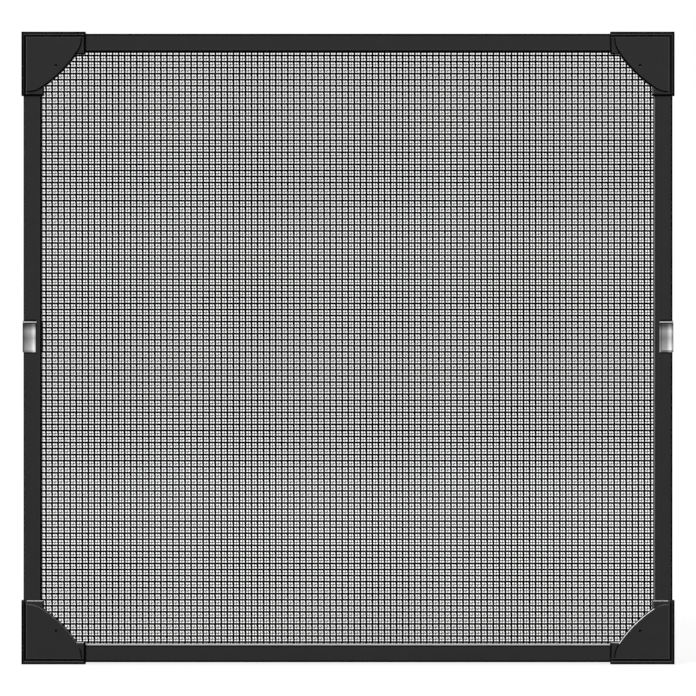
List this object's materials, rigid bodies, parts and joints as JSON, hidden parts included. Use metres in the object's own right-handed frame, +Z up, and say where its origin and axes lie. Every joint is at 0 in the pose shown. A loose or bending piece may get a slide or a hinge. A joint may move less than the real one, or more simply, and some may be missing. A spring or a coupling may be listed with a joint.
{
  "type": "window screen frame",
  "caption": "Dark window screen frame with moulded corner covers, woven mesh held by a spline in rear grooves, and folded steel hanger clips on the side rails.",
  "frame": {"origin": "centre of the frame on the rear plane that seats on the window, which is also the middle of the whole box", "axes": "+X to the right seen from the front, +Y towards the window behind, +Z up"},
  "size_m": [0.7, 0.0272, 0.678],
  "materials": {
    "rail": "fine dark powder coat",
    "corner": "moulded, lightly textured",
    "mesh": "coated woven threads",
    "spline": "matt",
    "clip": "satin stainless spring steel"
  },
  "bodies": {
    "root": {"rail_top": "rail", "spline_top": "spline", "rail_bottom": "rail", "spline_bottom": "spline", "rail_left": "rail", "spline_left": "spline", "rail_right": "rail", "spline_right": "spline", "corner_body_top_left": "corner", "corner_cover_top_left": "corner", "corner_body_top_right": "corner", "corner_cover_top_right": "corner", "corner_body_bottom_left": "corner", "corner_cover_bottom_left": "corner", "corner_body_bottom_right": "corner", "corner_cover_bottom_right": "corner", "mesh": "mesh", "hanger_clip_left": "clip", "hanger_clip_right": "clip"}
  },
  "joints": []
}
